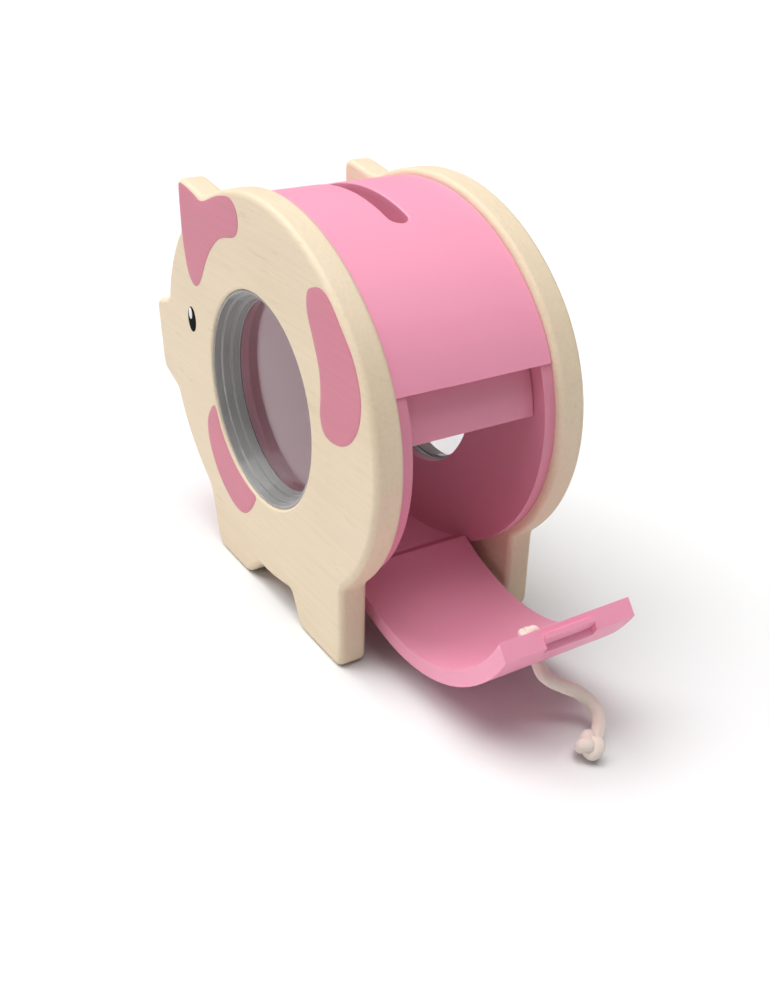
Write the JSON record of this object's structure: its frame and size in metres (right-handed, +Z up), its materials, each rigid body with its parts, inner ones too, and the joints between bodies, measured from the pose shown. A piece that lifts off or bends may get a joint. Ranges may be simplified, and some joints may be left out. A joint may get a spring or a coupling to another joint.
{
  "type": "money box",
  "caption": "Pig-shaped toy money box with wooden side plates, a pink drum with clear round windows, a top coin slot, a hinged rear door that opens into a tray, and a rope tail.",
  "frame": {"origin": "on the floor, under the middle of the box that the bank fills with its door open; the tail is left out of that box", "axes": "+Z up, +Y from the tail to the snout along the length, +X across the bank to the pig's right-hand plate in the plane of the floor"},
  "size_m": [0.092, 0.2671, 0.171],
  "materials": {
    "plate_wood": "pale birch with a satin clear coat, rounded edges and painted dusty pink patches and eyes",
    "dowel_wood": "plain beech",
    "pink_plastic": "moulded satin pink plastic",
    "door_plastic": "moulded satin pink plastic",
    "clear_plastic": "clear moulded plastic",
    "steel": "plain bright steel",
    "tail_cotton": "twisted natural cotton cord"
  },
  "bodies": {
    "bank": {"left_side_plate": "plate_wood", "right_side_plate": "plate_wood", "drum_shell": "pink_plastic", "left_end_wall": "pink_plastic", "right_end_wall": "pink_plastic", "left_window": "clear_plastic", "right_window": "clear_plastic", "latch_keeper": "pink_plastic", "hinge_pin": "steel", "left_wall_screws": "steel", "right_wall_screws": "steel", "left_plate_dowels": "dowel_wood", "right_plate_dowels": "dowel_wood"},
    "door": {"door_panel": "door_plastic", "tail_rope": "tail_cotton", "tail_knot": "tail_cotton", "tail_inner_knot": "tail_cotton"}
  },
  "joints": [
    {"name": "door_hinge", "type": "hinge", "parent": "bank", "child": "door", "pos_m": [0, -0.02032, 0.01769], "axis": [-1, 0, 0], "range_deg": [0, 51.5]}
  ]
}
